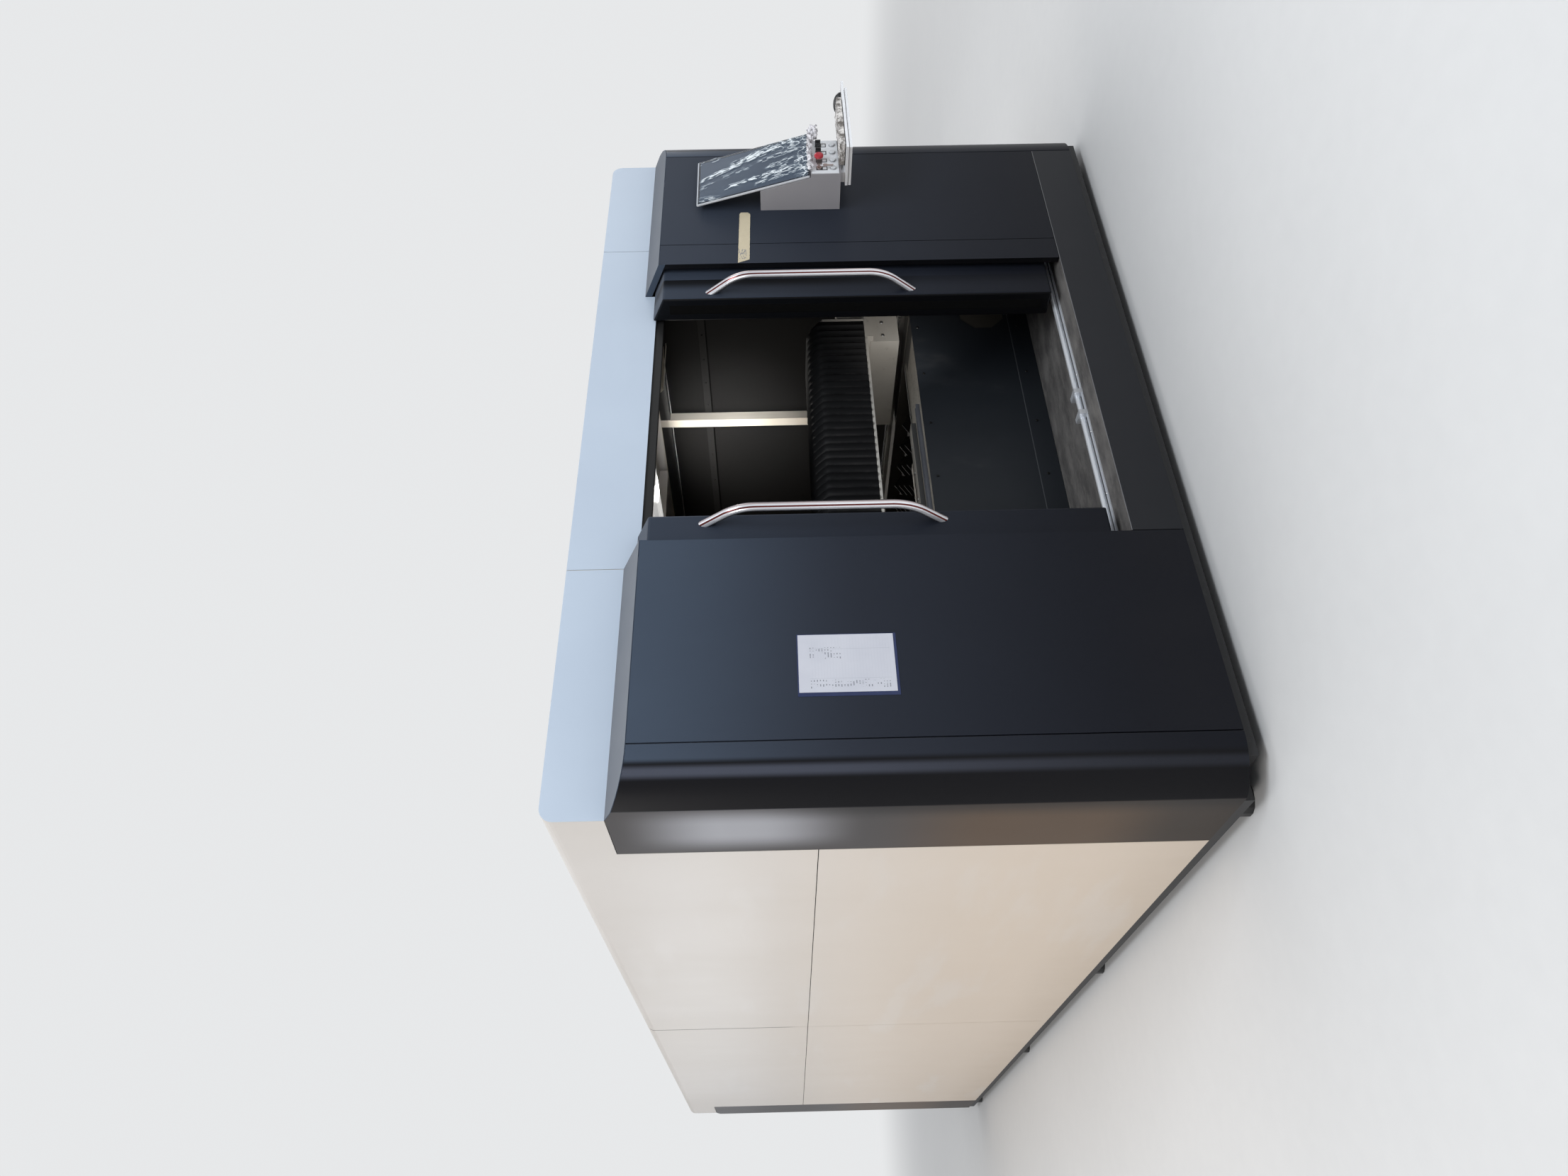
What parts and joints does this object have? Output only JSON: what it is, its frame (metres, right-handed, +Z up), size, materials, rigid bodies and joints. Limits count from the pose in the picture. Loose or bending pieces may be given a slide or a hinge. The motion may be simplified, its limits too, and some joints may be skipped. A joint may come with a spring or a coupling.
{
  "type": "fiber laser cutting machine",
  "caption": "Enclosed sheet-metal laser cutter with a bellows-covered gantry over a slatted pallet, sliding cabin doors, a lifting rear gate and an operator console.",
  "frame": {"origin": "on the floor under the middle of the machine's outer box, shelf included", "axes": "+Z up; the sliding doors and the console face -Y; +X is to the right of someone who faces the doors"},
  "size_m": [3.26, 6.328, 2.175],
  "materials": {
    "white_powder": "satin cream-white powder coat",
    "dark_powder": "satin blue-black powder coat",
    "black_sheet": "matt black paint",
    "frame_paint": "beige enamel",
    "bed_paint": "grey-beige enamel",
    "chrome": "bright chrome",
    "steel": "brushed steel",
    "copper": "turned copper alloy",
    "black_fabric": "coated black cloth",
    "console_grey": "warm grey powder coat",
    "white_plate": "white satin paint",
    "glass_black": "black glass front in a thin bezel",
    "red_plastic": "red moulded plastic",
    "black_plastic": "black moulded plastic",
    "clear_plastic": "light translucent plastic",
    "lamp_white": "white diffuser"
  },
  "bodies": {
    "cabin": {"base_frame": "black_sheet", "bed_front_plate": "black_sheet", "button_panel": "white_plate", "console_box": "console_grey", "cutting_pallet": "black_sheet", "door_rail": "chrome", "door_sill": "dark_powder", "fascia_left": "white_powder", "fascia_middle": "white_powder", "fascia_right": "white_powder", "front_header": "frame_paint", "keyboard": "black_plastic", "keyboard_shelf": "console_grey", "left_corner_wrap": "dark_powder", "left_front_panel": "dark_powder", "left_liner": "black_sheet", "left_shoulder_cap": "dark_powder", "left_side_panel_back_lower": "white_powder", "left_side_panel_back_upper": "white_powder", "left_side_panel_front_lower": "white_powder", "left_side_panel_front_upper": "white_powder", "left_wall_frame": "frame_paint", "machine_bed": "bed_paint", "monitor": "glass_black", "mouse": "black_plastic", "rear_fascia": "white_powder", "rear_left_wrap": "dark_powder", "rear_right_wrap": "dark_powder", "rear_wall": "dark_powder", "right_corner_wrap": "dark_powder", "right_edge_strip": "dark_powder", "right_front_panel": "dark_powder", "right_liner": "black_sheet", "right_shoulder_cap": "dark_powder", "right_side_panel_back_lower": "white_powder", "right_side_panel_back_upper": "white_powder", "right_side_panel_front_lower": "white_powder", "right_side_panel_front_upper": "white_powder", "right_wall_frame": "frame_paint", "roof_panel": "white_powder", "work_lamp": "lamp_white"},
    "left_door": {"left_door_leaf": "dark_powder", "left_door_handle": "chrome"},
    "right_door": {"right_door_leaf": "dark_powder", "right_door_handle": "chrome"},
    "rear_lifting_gate": {"rear_gate": "dark_powder"},
    "gantry": {"gantry_beam": "bed_paint", "left_bellows": "black_fabric", "right_bellows": "black_fabric"},
    "head_carriage": {"head_carriage": "white_plate"},
    "cutting_head": {"cutting_head": "steel", "nozzle": "copper"},
    "emergency_stop": {"emergency_stop": "red_plastic"},
    "key_switch": {"key_switch": "steel"},
    "left_selector": {"left_selector": "black_plastic"},
    "right_selector": {"right_selector": "black_plastic"},
    "push_button_1": {"push_button_1": "clear_plastic"},
    "push_button_2": {"push_button_2": "clear_plastic"},
    "push_button_3": {"push_button_3": "clear_plastic"},
    "push_button_4": {"push_button_4": "clear_plastic"}
  },
  "joints": [
    {"name": "left_door_slide", "type": "slide", "parent": "cabin", "child": "left_door", "axis": [1, 0, 0], "range_m": [-0.0685, 0.5705]},
    {"name": "right_door_slide", "type": "slide", "parent": "cabin", "child": "right_door", "axis": [-1, 0, 0], "range_m": [-0.0915, 0.5475]},
    {"name": "rear_gate_lift", "type": "slide", "parent": "cabin", "child": "rear_lifting_gate", "axis": [0, 0, 1], "range_m": [0, 0.5]},
    {"name": "gantry_travel", "type": "slide", "parent": "cabin", "child": "gantry", "axis": [0, 1, 0], "range_m": [0, 4.2]},
    {"name": "head_cross_travel", "type": "slide", "parent": "gantry", "child": "head_carriage", "axis": [1, 0, 0], "range_m": [0, 1.54], "deforming": ["left_bellows", "right_bellows"]},
    {"name": "head_lift", "type": "slide", "parent": "head_carriage", "child": "cutting_head", "axis": [0, 0, 1], "range_m": [-0.11, 0]},
    {"name": "emergency_stop_press", "type": "slide", "parent": "cabin", "child": "emergency_stop", "axis": [0, 1, 0], "range_m": [0, 0.0045]},
    {"name": "key_switch_turn", "type": "hinge", "parent": "cabin", "child": "key_switch", "pos_m": [1.093, -3.0523, 1.23], "axis": [0, -1, 0], "range_deg": [-90, 0]},
    {"name": "left_selector_turn", "type": "hinge", "parent": "cabin", "child": "left_selector", "pos_m": [1.202, -3.0523, 1.23], "axis": [0, -1, 0], "range_deg": [-45, 45]},
    {"name": "right_selector_turn", "type": "hinge", "parent": "cabin", "child": "right_selector", "pos_m": [1.2565, -3.0523, 1.23], "axis": [0, -1, 0], "range_deg": [-45, 45]},
    {"name": "push_button_1_press", "type": "slide", "parent": "cabin", "child": "push_button_1", "axis": [0, 1, 0], "range_m": [0, 0.0035], "stiffness_N_per_m": 250},
    {"name": "push_button_2_press", "type": "slide", "parent": "cabin", "child": "push_button_2", "axis": [0, 1, 0], "range_m": [0, 0.0035], "stiffness_N_per_m": 250},
    {"name": "push_button_3_press", "type": "slide", "parent": "cabin", "child": "push_button_3", "axis": [0, 1, 0], "range_m": [0, 0.0035], "stiffness_N_per_m": 250},
    {"name": "push_button_4_press", "type": "slide", "parent": "cabin", "child": "push_button_4", "axis": [0, 1, 0], "range_m": [0, 0.0035], "stiffness_N_per_m": 250}
  ]
}
